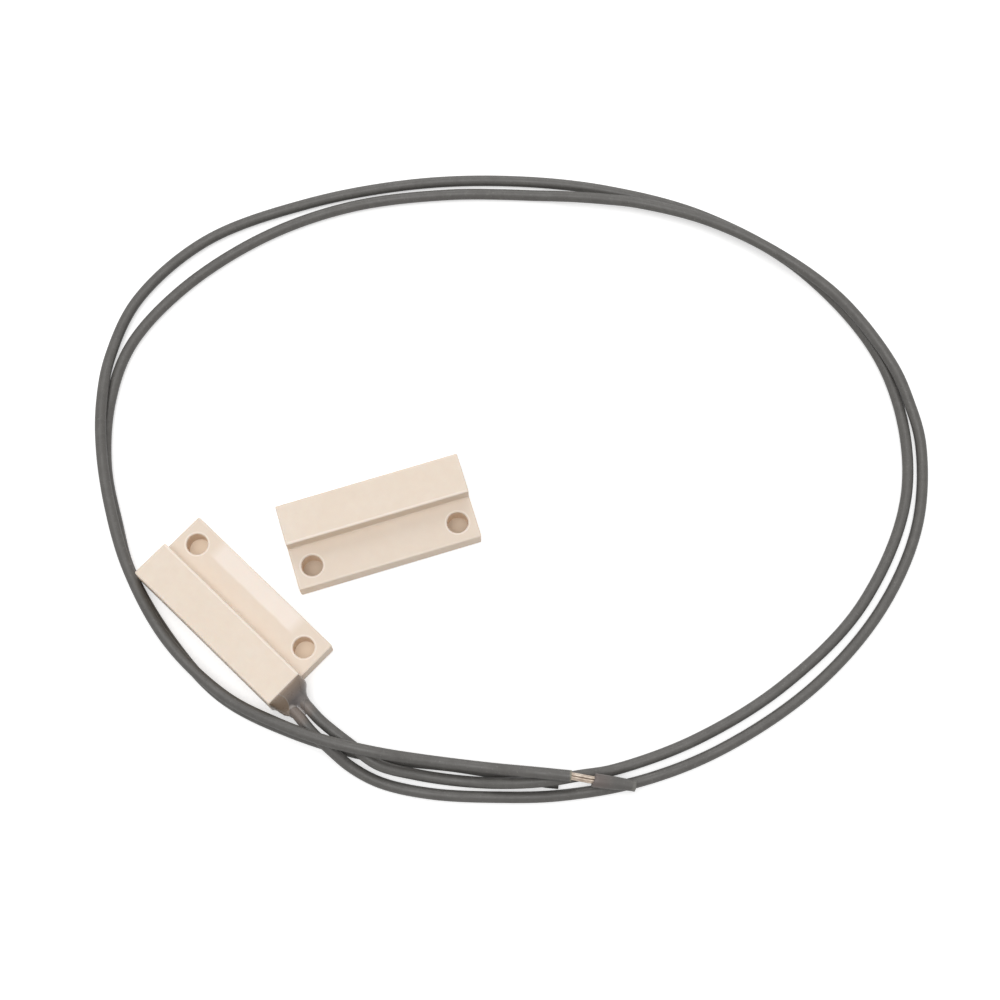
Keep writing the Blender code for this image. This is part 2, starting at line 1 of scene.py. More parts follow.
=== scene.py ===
"""Dress a surface-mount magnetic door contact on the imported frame.

The CAD solids give the sizes and the places. This script adds the two lead wires, the potting, the
stripped wire end, the finishes, the studio and the camera. Lengths are in metres and +Z is up.
"""

import logging
import math
from dataclasses import dataclass, field
from enum import Enum

import bmesh
import bpy
from bmesh.types import BMEdge, BMesh, BMFace
from bpy.types import Material, Node, NodeSocket, NodeTree, Object
from mathutils import Matrix, Vector


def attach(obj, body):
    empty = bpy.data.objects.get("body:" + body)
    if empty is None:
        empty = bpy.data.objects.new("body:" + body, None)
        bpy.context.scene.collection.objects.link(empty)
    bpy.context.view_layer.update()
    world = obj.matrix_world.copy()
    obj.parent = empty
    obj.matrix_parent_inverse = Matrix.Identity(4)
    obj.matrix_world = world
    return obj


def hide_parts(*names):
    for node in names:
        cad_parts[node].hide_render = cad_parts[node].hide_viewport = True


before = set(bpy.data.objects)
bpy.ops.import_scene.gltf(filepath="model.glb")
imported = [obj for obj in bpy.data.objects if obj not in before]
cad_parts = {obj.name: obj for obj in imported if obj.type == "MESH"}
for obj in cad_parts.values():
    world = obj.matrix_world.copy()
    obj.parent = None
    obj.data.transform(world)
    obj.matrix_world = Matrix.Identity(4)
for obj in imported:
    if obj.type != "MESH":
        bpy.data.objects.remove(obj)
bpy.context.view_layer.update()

logging.basicConfig(level=logging.INFO, format="%(name)s: %(message)s")
log = logging.getLogger("door_contact")

Colour = tuple[float, float, float, float]
Display = tuple[int, int, int]
Span = tuple[float, float]
Point = tuple[float, float, float]
# Low limit, high limit and width of the fade past them
Band = tuple[float, float, float]
MM = 0.001
WHITE: Colour = (1.0, 1.0, 1.0, 1.0)
BODY = "contact_set"
# Face attributes of the shells: the strength of each face's painted edge highlight, and its zone of
# painted light and shade
EDGE = "edge"
ZONE = "zone"
# Z part of a normal: above LEVEL on a level face, UPRIGHT to SLOPED on a chamfer, less on a wall
LEVEL = 0.99
SLOPED = 0.95
UPRIGHT = 0.3
# Steps of a full turn, and the angle in degrees below which every edge is smooth
TURN_STEPS = 40
ALL_SMOOTH = 180.0


class Slot(Enum):
    """Material slots of the record."""

    CREAM = "cream_abs"
    POTTING = "potting_compound"
    GLASS = "reed_glass"
    BLADE = "blade_plating"
    LEAD = "nickel_iron"
    SLEEVE = "clear_sleeve"
    CRIMP = "tinned_brass"
    STRAND = "tinned_copper"
    INSULATION = "grey_pvc"
    MAGNET = "alnico"


class Zone(Enum):
    """Parts of the moulding that take different painted light and shade, as marked on its faces."""

    PLAIN = 0.0
    WALL = 1.0
    FLANGE = 2.0
    STEP = 3.0


@dataclass(frozen=True)
class Pattern:
    """Noise with its grain in millimetres, spread from start and end to low and high."""

    grain: float
    layers: float
    low: float = 0.0
    high: float = 1.0
    start: float = 0.3
    end: float = 0.7


@dataclass(frozen=True)
class Relief:
    """Noise pressed into a surface, with its grain and depth in millimetres."""

    grain: float
    layers: float
    depth: float
    strength: float


@dataclass(frozen=True)
class Mark:
    """A patch of another display colour round one point, with its lengths in millimetres."""

    centre: Point
    reach: float
    soft: float
    colour: Display
    share: float


@dataclass(frozen=True)
class PaintedZoneTint:
    """The painted light and shade of one zone of the moulding."""

    zone: Zone
    colour: Display
    share: float


def linear(display: Display) -> Colour:
    """Turn a display colour into scene light.

    Args:
        display: Red, green and blue from 0 to 255.

    Returns:
        The linear colour with an alpha of 1.
    """
    shares = [value / 255 for value in display]
    light = [s / 12.92 if s <= 0.04045 else ((s + 0.055) / 1.055) ** 2.4 for s in shares]
    return (*light, 1.0)


class NodeGraph:
    """Small helper that adds nodes to a tree and joins them."""

    def __init__(self, tree: NodeTree) -> None:
        """Take the tree that is filled."""
        self.tree = tree

    def add(self, kind: str, **settings: object) -> Node:
        """Add a node.

        Args:
            kind: Node type, without its ShaderNode prefix.
            **settings: Properties of the node, or its inputs where the name starts with in_.

        Returns:
            The new node.
        """
        node = self.tree.nodes.new(f"ShaderNode{kind}")
        for key, value in settings.items():
            if key.startswith("in_"):
                self.feed(node.inputs[key[3:].replace("_", " ")], value)
            else:
                setattr(node, key, value)
        return node

    def feed(self, target: NodeSocket, value: object) -> None:
        """Give an input a constant, or link it where the value is a socket.

        Args:
            target: The input.
            value: A number, a colour, a vector or an output.
        """
        if isinstance(value, NodeSocket):
            self.tree.links.new(value, target)
        else:
            target.default_value = value

    def math(self, operation: str, *values: object) -> NodeSocket:
        """Work out one arithmetic step.

        Args:
            operation: Name of the step.
            *values: Its numbers, or the sockets that give them.

        Returns:
            The result.
        """
        node = self.add("Math", operation=operation)
        for target, value in zip(node.inputs, values):
            self.feed(target, value)
        return node.outputs[0]

    def product(self, *values: object) -> NodeSocket:
        """Return the product of two values."""
        return self.math("MULTIPLY", *values)


class ShaderGraph(NodeGraph):
    """The nodes of one material, whose patterns all read the object coordinates."""

    def __init__(self, name: str) -> None:
        """Start a material with a Principled shader.

        Args:
            name: Name of the material.
        """
        self.material = bpy.data.materials.new(name)
        self.material.use_nodes = True
        super().__init__(self.material.node_tree)
        self.shader = self.tree.nodes["Principled BSDF"]
        self.place = self.add("TexCoord").outputs["Object"]

    def set(self, **values: object) -> None:
        """Feed inputs of the Principled shader, with underscores for the spaces in their names."""
        for key, value in values.items():
            self.feed(self.shader.inputs[key.replace("_", " ")], value)

    def axes(self) -> tuple[NodeSocket, ...]:
        """Return X, Y and Z of the object coordinates."""
        return tuple(self.add("SeparateXYZ", in_Vector=self.place).outputs)

    def attribute(self, name: str) -> NodeSocket:
        """Return a number that the mesh carries, which is 0 where it has none."""
        return self.add("Attribute", attribute_name=name).outputs["Fac"]

    def noise(self, grain: float, layers: float) -> NodeSocket:
        """Add noise from 0 to 1.

        Args:
            grain: Size of its features in millimetres.
            layers: Number of finer layers.

        Returns:
            The noise.
        """
        node = self.add(
            "TexNoise",
            in_Vector=self.place,
            in_Scale=1 / (grain * MM),
            in_Detail=layers,
            in_Roughness=0.55,
        )
        return node.outputs["Fac"]

    def spread(
        self, value: NodeSocket, low: float, high: float, start: float, end: float
    ) -> NodeSocket:
        """Map a value from start and end to low and high, and hold it there.

        Args:
            value: The value to map.
            low: Result at start.
            high: Result at end.
            start: Value that gives low.
            end: Value that gives high.

        Returns:
            The mapped value.
        """
        node = self.add(
            "MapRange",
            in_Value=value,
            in_From_Min=start,
            in_From_Max=end,
            in_To_Min=low,
            in_To_Max=high,
        )
        return node.outputs["Result"]

    def pattern(self, pattern: Pattern) -> NodeSocket:
        """Return a pattern's noise, spread as it says."""
        noise = self.noise(pattern.grain, pattern.layers)
        return self.spread(noise, pattern.low, pattern.high, pattern.start, pattern.end)

    def band(self, value: NodeSocket, low: float, high: float, soft: float) -> NodeSocket:
        """Mask the values between two limits, with edges that fade outwards."""
        rising = self.spread(value, 0.0, 1.0, low - soft, low)
        return self.product(rising, self.spread(value, 1.0, 0.0, high, high + soft))

    def near(self, centre: Vector, reach: float, soft: float) -> NodeSocket:
        """Mask what lies near a point.

        Args:
            centre: The point.
            reach: Distance up to which the mask is 1.
            soft: Further distance over which it fades to 0.

        Returns:
            The mask.
        """
        node = self.add("VectorMath", operation="DISTANCE")
        for target, value in zip(node.inputs, (self.place, centre)):
            self.feed(target, value)
        return self.spread(node.outputs["Value"], 1.0, 0.0, reach, reach + soft)

    def tint(self, share: NodeSocket, first: object, second: object) -> NodeSocket:
        """Mix two colours.

        Args:
            share: Part of the second colour.
            first: A colour, or the socket of one.
            second: A colour, or the socket of one.

        Returns:
            The mixed colour.
        """
        node = self.add("Mix", data_type="RGBA")
        for index, value in ((0, share), (6, first), (7, second)):
            self.feed(node.inputs[index], value)
        return node.outputs[2]

    def marked(self, colour: NodeSocket, marks: tuple[Mark, ...]) -> NodeSocket:
        """Lay marks over a colour, such as stains, painted highlights and painted shadow.

        Args:
            colour: The colour below.
            marks: The marks.

        Returns:
            The colour with its marks.
        """
        for mark in marks:
            mask = self.near(Vector(mark.centre) * MM, mark.reach * MM, mark.soft * MM)
            colour = self.tint(self.product(mask, mark.share), colour, linear(mark.colour))
        return colour

    def bump(self, height: NodeSocket, depth: float, strength: float) -> None:
        """Press a height pattern into the surface, on top of what is there.

        Args:
            height: Pattern from 0 to 1.
            depth: Depth in metres from 0 to 1.
            strength: Share of the effect.
        """
        node = self.add("Bump", in_Strength=strength, in_Distance=depth, in_Height=height)
        normal = self.shader.inputs["Normal"]
        if normal.is_linked:
            self.feed(node.inputs["Normal"], normal.links[0].from_socket)
        self.feed(normal, node.outputs["Normal"])

    def emboss(self, *reliefs: Relief) -> None:
        """Press reliefs into the surface, one after the other."""
        for relief in reliefs:
            self.bump(self.noise(relief.grain, relief.layers), relief.depth * MM, relief.strength)


@dataclass(frozen=True)
class Finish:
    """The finish of one or more pieces."""

    name: str

    def make(self) -> Material:
        """Paint the finish on a new material.

        Returns:
            The material.
        """
        graph = ShaderGraph(self.name)
        self.paint(graph)
        return graph.material

    def paint(self, graph: ShaderGraph) -> None:
        """Fill the material's nodes, as each kind of finish does in its own way."""
        raise NotImplementedError


@dataclass(frozen=True)
class MouldedCream(Finish):
    """Cream moulded plastic with a fine spark-eroded grain, painted edge highlights, painted light
    and shade by zone, and one smoother patch with a painted highlight.

    The patch is the smoother strip of the reed half's flange between its screw holes, made paler by
    a painted highlight. The edge attribute says how strong a face's painted highlight is, and the
    zone attribute which painted tint it takes: warm bounce light on the upright walls, shade on the
    flange and on the step.
    """

    name: str = "cream_abs"
    body: Colour = linear((236, 220, 202))
    pale: Colour = linear((238, 224, 208))
    warm: Colour = linear((231, 212, 195))
    clouds: Pattern = Pattern(9.0, 2.0)
    flecks: Pattern = Pattern(1.4, 4.0, 0.0, 0.4)
    satin: Pattern = Pattern(2.5, 3.0, 0.38, 0.50)
    # Painted light and shade by zone: warm bounce light on the upright walls, shade on the flange
    # and darker shade on the step
    painted_light_and_shade: tuple[PaintedZoneTint, ...] = (
        PaintedZoneTint(Zone.WALL, (247, 220, 192), 0.5),
        PaintedZoneTint(Zone.FLANGE, (228, 211, 194), 0.4),
        PaintedZoneTint(Zone.STEP, (224, 204, 182), 0.6),
    )
    zone_spread: Span = (0.2, 0.1)
    # Painted highlight along the upper edges and round the screw holes, and its share
    highlight_colour: Colour = linear((252, 239, 227))
    highlight_share: float = 0.6
    # Painted highlight of the smoother patch on the reed half's flange, its share, and how much
    # smoother the patch is
    patch_highlight: Colour = linear((246, 233, 222))
    patch_share: float = 0.8
    patch_polish: float = 0.12
    patch_x: Band = (-8.6 * MM, 8.4 * MM, 1.6 * MM)
    patch_y: Band = (4.1 * MM, 8.0 * MM, 0.45 * MM)
    patch_z: Band = (3.9 * MM, 4.1 * MM, 0.02 * MM)
    patch_waver: Pattern = Pattern(4.0, 1.0, -0.12 * MM, 0.12 * MM)

    def paint(self, graph: ShaderGraph) -> None:
        """Paint the moulding.

        Args:
            graph: The material's nodes.
        """
        broad = graph.tint(graph.pattern(self.clouds), self.body, self.pale)
        moulded = graph.tint(graph.pattern(self.flecks), broad, self.warm)
        zone = graph.attribute(ZONE)
        half, soft = self.zone_spread
        # Lay the painted light and shade of each zone
        for tint in self.painted_light_and_shade:
            within = graph.band(zone, tint.zone.value - half, tint.zone.value + half, soft)
            moulded = graph.tint(graph.product(within, tint.share), moulded, linear(tint.colour))
        # Painted highlight on the flange's smoother patch
        patch = self.patch(graph)
        moulded = graph.tint(patch, moulded, self.patch_highlight)
        # Painted edge highlight, as strong as the edge attribute says
        scuff_and_highlight = graph.product(graph.attribute(EDGE), self.highlight_share)
        smooth = graph.product(patch, self.patch_polish)
        graph.emboss(Relief(0.16, 2.0, 0.006, 0.5), Relief(4.0, 1.0, 0.03, 0.4))
        graph.set(
            Base_Color=graph.tint(scuff_and_highlight, moulded, self.highlight_colour),
            Roughness=graph.math("SUBTRACT", graph.pattern(self.satin), smooth),
            Subsurface_Weight=0.10,
            Subsurface_Radius=(1.0, 0.6, 0.35),
            Subsurface_Scale=0.0006,
            IOR=1.5,
            Specular_IOR_Level=0.45,
        )

    def patch(self, graph: ShaderGraph) -> NodeSocket:
        """Mask the smoother patch with its painted highlight, whose edge wavers a little.

        Args:
            graph: The material's nodes.

        Returns:
            The share of the painted highlight colour.
        """
        along, aside, up = graph.axes()
        across = graph.math("ADD", aside, graph.pattern(self.patch_waver))
        outline = graph.product(graph.band(along, *self.patch_x), graph.band(across, *self.patch_y))
        shown = graph.product(outline, graph.band(up, *self.patch_z))
        return graph.product(shown, self.patch_share)


@dataclass(frozen=True)
class CuredResin(Finish):
    """Glossy potting resin: warm by the bar, grey by the wires, olive past a fine curved seam, and
    with five small painted highlights.

    The seam is a parabola in the plan, which starts at the bar's end and bends away along the
    outer wire.
    """

    name: str = "potting_resin"
    warm: Colour = linear((145, 126, 110))
    grey: Colour = linear((118, 111, 108))
    dark: Colour = linear((106, 100, 98))
    olive: Colour = linear((135, 116, 98))
    olive_share: float = 0.9
    olive_fade: float = 0.05 * MM
    thread: Colour = linear((162, 152, 142))
    thread_share: float = 0.8
    thread_z: Span = (3.4 * MM, 4.2 * MM)
    clouds: Pattern = Pattern(1.6, 3.0)
    gloss: Pattern = Pattern(0.7, 3.0, 0.24, 0.40)
    warm_until: float = 16.2 * MM
    grey_from: float = 18.0 * MM
    seam_x: float = 17.0 * MM
    seam_y: float = -4.52 * MM
    seam_bend: float = 0.33 / MM
    seam_width: float = 0.07 * MM
    # Painted highlights: five pale spots near the outer wire's exit and along the web between the
    # wires
    marks: tuple[Mark, ...] = (
        Mark((18.35, -4.75, 4.45), 0.26, 0.30, (176, 168, 162), 0.75),
        Mark((18.75, -4.45, 4.30), 0.16, 0.22, (170, 161, 154), 0.6),
        Mark((18.55, -5.65, 4.10), 0.14, 0.20, (168, 158, 150), 0.6),
        Mark((19.45, -4.02, 4.05), 0.16, 0.18, (160, 150, 143), 0.45),
        Mark((19.85, -3.96, 3.95), 0.16, 0.18, (162, 152, 145), 0.45),
    )

    def paint(self, graph: ShaderGraph) -> None:
        """Paint the resin.

        Args:
            graph: The material's nodes.
        """
        along, aside, up = graph.axes()
        resin = graph.tint(graph.pattern(self.clouds), self.grey, self.dark)
        fade = graph.spread(along, 1.0, 0.0, self.warm_until, self.grey_from)
        resin = graph.tint(fade, resin, self.warm)
        past = self.past_seam(graph, along, aside)
        outer = graph.spread(past, 0.0, self.olive_share, 0.0, self.olive_fade)
        resin = graph.tint(outer, resin, self.olive)
        line = graph.band(past, -self.seam_width / 2, self.seam_width / 2, self.seam_width)
        line = graph.product(line, graph.spread(up, 0.0, self.thread_share, *self.thread_z))
        resin = graph.tint(line, resin, self.thread)
        graph.emboss(Relief(1.1, 2.0, 0.05, 0.6))
        graph.bump(line, 0.06 * MM, 0.8)
        graph.set(
            # The marks are painted highlights
            Base_Color=graph.marked(resin, self.marks),
            Roughness=graph.pattern(self.gloss),
            IOR=1.55,
            Coat_Weight=0.25,
            Coat_Roughness=0.18,
        )

    def past_seam(self, graph: ShaderGraph, along: NodeSocket, aside: NodeSocket) -> NodeSocket:
        """Return how far a place lies on the outer side of the seam.

        Args:
            graph: The material's nodes.
            along: X of the place.
            aside: Y of the place.

        Returns:
            The distance, negative on the inner side.
        """
        offset = graph.math("SUBTRACT", along, self.seam_x)
        drop = graph.product(graph.product(offset, offset), self.seam_bend)
        return graph.math("SUBTRACT", graph.math("SUBTRACT", self.seam_y, drop), aside)


@dataclass(frozen=True)
class ExtrudedVinyl(Finish):
    """Mid-grey wire insulation with a low sheen, faint mottling, scuffs, handled or cut ends, and a
    painted shadow along the second wire's last stretch.
    """

    name: str = "grey_pvc"
    body: Colour = linear((99, 97, 94))
    shade: Colour = linear((90, 88, 85))
    scuff_and_highlight: Colour = linear((82, 80, 78))
    dust: Colour = linear((138, 136, 133))
    mottle: Pattern = Pattern(2.2, 4.0)
    blotches: Pattern = Pattern(0.9, 3.0, 0.0, 0.4, 0.46, 0.66)
    specks: Pattern = Pattern(0.35, 2.0, 0.0, 0.35, 0.62, 0.74)
    sheen: Pattern = Pattern(3.0, 3.0, 0.40, 0.54)
    marks: tuple[Mark, ...] = (
        Mark((59.4, 18.9, 4.9), 0.96, 0.10, (156, 150, 130), 0.6),
        # Painted shadow on wire B's end and last stretch, where wire A lies over it
        Mark((58.5, 17.05, 0.9), 0.65, 0.75, (46, 45, 43), 0.8),
        Mark((56.3, 15.35, 0.7), 1.3, 1.2, (56, 55, 53), 0.7),
        Mark((53.6, 13.50, 0.7), 1.3, 1.2, (60, 59, 57), 0.6),
        Mark((51.0, 11.70, 0.7), 1.3, 1.2, (64, 63, 61), 0.4),
        Mark((19.7, -4.9, 4.1), 1.1, 1.6, (134, 121, 113), 0.75),
        Mark((20.4, -2.9, 4.1), 0.5, 1.1, (130, 120, 114), 0.5),
    )

    def paint(self, graph: ShaderGraph) -> None:
        """Paint the insulation.

        Args:
            graph: The material's nodes.
        """
        colour = graph.tint(graph.pattern(self.mottle), self.body, self.shade)
        colour = graph.tint(graph.pattern(self.blotches), colour, self.scuff_and_highlight)
        colour = graph.tint(graph.pattern(self.specks), colour, self.dust)
        graph.emboss(Relief(0.5, 3.0, 0.012, 0.5), Relief(6.0, 1.0, 0.05, 0.5))
        graph.set(
            Base_Color=graph.marked(colour, self.marks),
            Roughness=graph.pattern(self.sheen),
            IOR=1.53,
            Specular_IOR_Level=0.42,
        )


@dataclass(frozen=True)
class DrawnMetal(Finish):
    """Bright or dull metal with drawing marks and slight tarnish."""

    bright: Colour
    dull: Colour
    rough: Span

    def paint(self, graph: ShaderGraph) -> None:
        """Paint the metal.

        Args:
            graph: The material's nodes.
        """
        graph.emboss(Relief(0.15, 2.0, 0.01, 0.3))
        graph.set(
            Base_Color=graph.tint(graph.pattern(Pattern(1.2, 3.0)), self.bright, self.dull),
            Roughness=graph.pattern(Pattern(0.3, 4.0, *self.rough)),
            Metallic=1.0,
        )


@dataclass(frozen=True)
class CapsuleGlass(Finish):
    """Clear green glass of the reed capsule."""

    name: str = "reed_glass"
    body: Colour = linear((205, 226, 213))
    cords: Pattern = Pattern(1.2, 2.0, 0.02, 0.08)

    def paint(self, graph: ShaderGraph) -> None:
        """Paint the glass, faintly uneven as drawn glass is."""
        rough = graph.pattern(self.cords)
        graph.set(Base_Color=self.body, Roughness=rough, Transmission_Weight=0.9, IOR=1.5)


@dataclass(frozen=True)
class MilkySleeve(Finish):
    """Thin translucent insulating sleeve."""

    name: str = "clear_sleeve"
    body: Colour = linear((214, 212, 202))
    haze: Pattern = Pattern(0.8, 3.0, 0.3, 0.5)

    def paint(self, graph: ShaderGraph) -> None:
        """Paint the sleeve.

        Args:
            graph: The material's nodes.
        """
        rough = graph.pattern(self.haze)
        graph.emboss(Relief(0.6, 2.0, 0.02, 0.4))
        graph.set(Base_Color=self.body, Roughness=rough, Transmission_Weight=0.25, IOR=1.45)


SLUG_MARKS: tuple[Mark, ...] = (
    Mark((62.4, 20.9, 4.3), 0.4, 3.2, (112, 99, 95), 0.75),
    Mark((67.9, 25.0, 3.0), 0.95, 0.35, (150, 148, 142), 0.6),
)
# Slot, bright colour, dull colour and roughness of each metal
METALS: tuple[tuple[Slot, Display, Display, Span], ...] = (
    (Slot.BLADE, (226, 225, 222), (198, 196, 192), (0.22, 0.4)),
    (Slot.LEAD, (205, 202, 196), (172, 168, 160), (0.22, 0.4)),
    (Slot.CRIMP, (214, 206, 184), (182, 172, 146), (0.22, 0.4)),
    (Slot.STRAND, (208, 196, 182), (152, 134, 120), (0.34, 0.5)),
    (Slot.MAGNET, (150, 148, 145), (116, 114, 111), (0.4, 0.6)),
)


class Finishes:
    """Every finish of the object, made once."""

    def __init__(self) -> None:
        """Make the materials."""
        self.by_slot: dict[Slot, Material] = {
            Slot.CREAM: MouldedCream().make(),
            Slot.POTTING: CuredResin().make(),
            Slot.INSULATION: ExtrudedVinyl().make(),
            Slot.GLASS: CapsuleGlass().make(),
            Slot.SLEEVE: MilkySleeve().make(),
        }
        for slot, bright, dull, rough in METALS:
            metal = DrawnMetal(slot.value, linear(bright), linear(dull), rough)
            self.by_slot[slot] = metal.make()
        self.slug = ExtrudedVinyl(name="handled_pvc", marks=SLUG_MARKS).make()

    def dress(self, piece: Object, slot: Slot, finish: Material | None = None) -> None:
        """Give a piece its finish in place of what it has.

        Args:
            piece: The object to dress.
            slot: The slot that it takes its finish from.
            finish: A finish of its own, where the slot's common one doesn't do.
        """
        piece.data.materials.clear()
        piece.data.materials.append(finish or self.by_slot[slot])
        for polygon in getattr(piece.data, "polygons", []):
            polygon.material_index = 0


@dataclass
class Assembly:
    """A sub-assembly, which is dressed from the object's finishes."""

    finishes: Finishes

    def stand_for(self, piece: Object, slot: Slot, *nodes: str) -> Object:
        """Dress a new piece, and let it ride on the body and stand for its CAD nodes.

        Args:
            piece: The new piece.
            slot: Its material slot.
            *nodes: CAD nodes that it stands for.

        Returns:
            The same piece.
        """
        self.finishes.dress(piece, slot)
        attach(piece, BODY)
        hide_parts(*nodes)
        log.info("%s made, in place of %s", piece.name, ", ".join(nodes))
        return piece


def add_piece(name: str, data: bpy.types.ID) -> Object:
    """Link a new object at the origin.

    Args:
        name: Name of the piece.
        data: Its mesh or curve.

    Returns:
        The new object.
    """
    piece = bpy.data.objects.new(name, data)
    bpy.context.scene.collection.objects.link(piece)
    return piece


def finish_mesh(name: str, shape: BMesh, smooth_below: float = 40.0) -> Object:
    """Turn a bmesh into a piece, smooth apart from its sharp edges.

    Args:
        name: Name of the piece.
        shape: Its shape, which is freed.
        smooth_below: Angle in degrees above which an edge stays sharp.

    Returns:
        The new object.
    """
    mesh = bpy.data.meshes.new(name)
    shape.to_mesh(mesh)
    shape.free()
    carried = mesh.attributes.get("custom_normal")
    if carried:
        mesh.attributes.remove(carried)
    mesh.shade_smooth()
    mesh.set_sharp_from_angle(angle=math.radians(smooth_below))
    return add_piece(name, mesh)


def absorb(shape: BMesh, draft: Object) -> None:
    """Add a draft piece's finished mesh to a shape, and remove the draft.

    Args:
        shape: The mesh that takes it.
        draft: The draft, with its modifiers or its curve's thickness.
    """
    graph = bpy.context.evaluated_depsgraph_get()
    mesh = bpy.data.meshes.new_from_object(draft.evaluated_get(graph))
    shape.from_mesh(mesh)
    bpy.data.objects.remove(draft, do_unlink=True)
    bpy.data.meshes.remove(mesh)


def turned(profile: list[Span]) -> BMesh:
    """Spin a closed profile round the Z axis.

    Args:
        profile: Corners as radius and height.

    Returns:
        The closed shape, with its faces outwards.
    """
    shape = bmesh.new()
    corners = [shape.verts.new((radius, 0.0, height)) for radius, height in profile]
    edges = [shape.edges.new(pair) for pair in zip(corners, corners[1:] + corners[:1])]
    bmesh.ops.spin(
        shape,
        geom=corners + edges,
        cent=(0.0, 0.0, 0.0),
        axis=(0.0, 0.0, 1.0),
        angle=2 * math.pi,
        steps=TURN_STEPS,
        use_merge=True,
    )
    bmesh.ops.remove_doubles(shape, verts=shape.verts, dist=0.00001 * MM)
    bmesh.ops.recalc_face_normals(shape, faces=shape.faces)
    return shape


def aim(shape: BMesh, start: Vector, end: Vector) -> None:
    """Turn a shape that stands on the origin along Z, so that it runs from start towards end."""
    turn = (end - start).to_track_quat("Z", "Y").to_matrix().to_4x4()
    bmesh.ops.transform(shape, matrix=Matrix.Translation(start) @ turn, verts=shape.verts)


def smooth_path(points: list[Vector], steps: int = 24) -> list[Vector]:
    """Read a fine path from a centripetal Catmull-Rom curve through the points.

    Args:
        points: The route's own points.
        steps: Points read from each stretch between two of them.

    Returns:
        The fine path.
    """
    ends = [2 * points[0] - points[1], *points, 2 * points[-1] - points[-2]]
    path: list[Vector] = []
    for before, start, end, after in zip(ends, ends[1:], ends[2:], ends[3:]):
        t1 = math.sqrt((start - before).length)
        t2 = t1 + math.sqrt((end - start).length)
        t3 = t2 + math.sqrt((after - end).length)
        for step in range(steps):
            t = t1 + (t2 - t1) * step / steps
            a1 = before.lerp(start, t / t1)
            a2 = start.lerp(end, (t - t1) / (t2 - t1))
            a3 = end.lerp(after, (t - t2) / (t3 - t2))
            b1 = a1.lerp(a2, t / t2)
            b2 = a2.lerp(a3, (t - t1) / (t3 - t1))
            path.append(b1.lerp(b2, (t - t1) / (t2 - t1)))
    path.append(points[-1])
    return path


def spaced(path: list[Vector], spacing: float) -> list[Vector]:
    """Read a path again at even spacing.

    Args:
        path: A fine path.
        spacing: Distance between the points that are kept.

    Returns:
        The evenly spaced path, with both ends kept.
    """
    total = sum((after - before).length for before, after in zip(path, path[1:]))
    count = max(2, round(total / spacing))
    step = total / count
    kept = [path[0].copy()]
    reached = 0.0
    for before, after in zip(path, path[1:]):
        stretch = (after - before).length
        while len(kept) < count and step * len(kept) <= reached + stretch:
            kept.append(before.lerp(after, (step * len(kept) - reached) / stretch))
        reached += stretch
    kept.append(path[-1].copy())
    return kept


def tube(name: str, path: list[Vector], diameter: float, resolution: int = 8) -> Object:
    """Draw a round wire along a path.

    Args:
        name: Name of the piece.
        path: Points of its centre line.
        diameter: Its diameter.
        resolution: Fineness of its round section.

    Returns:
        A curve object of one open spline.
    """
    curve = bpy.data.curves.new(name, "CURVE")
    curve.dimensions = "3D"
    curve.bevel_depth = diameter / 2
    curve.bevel_resolution = resolution
    curve.use_fill_caps = True
    spline = curve.splines.new("POLY")
    spline.points.add(len(path) - 1)
    for point, place in zip(spline.points, path):
        point.co = (place.x, place.y, place.z, 1.0)
    return add_piece(name, curve)


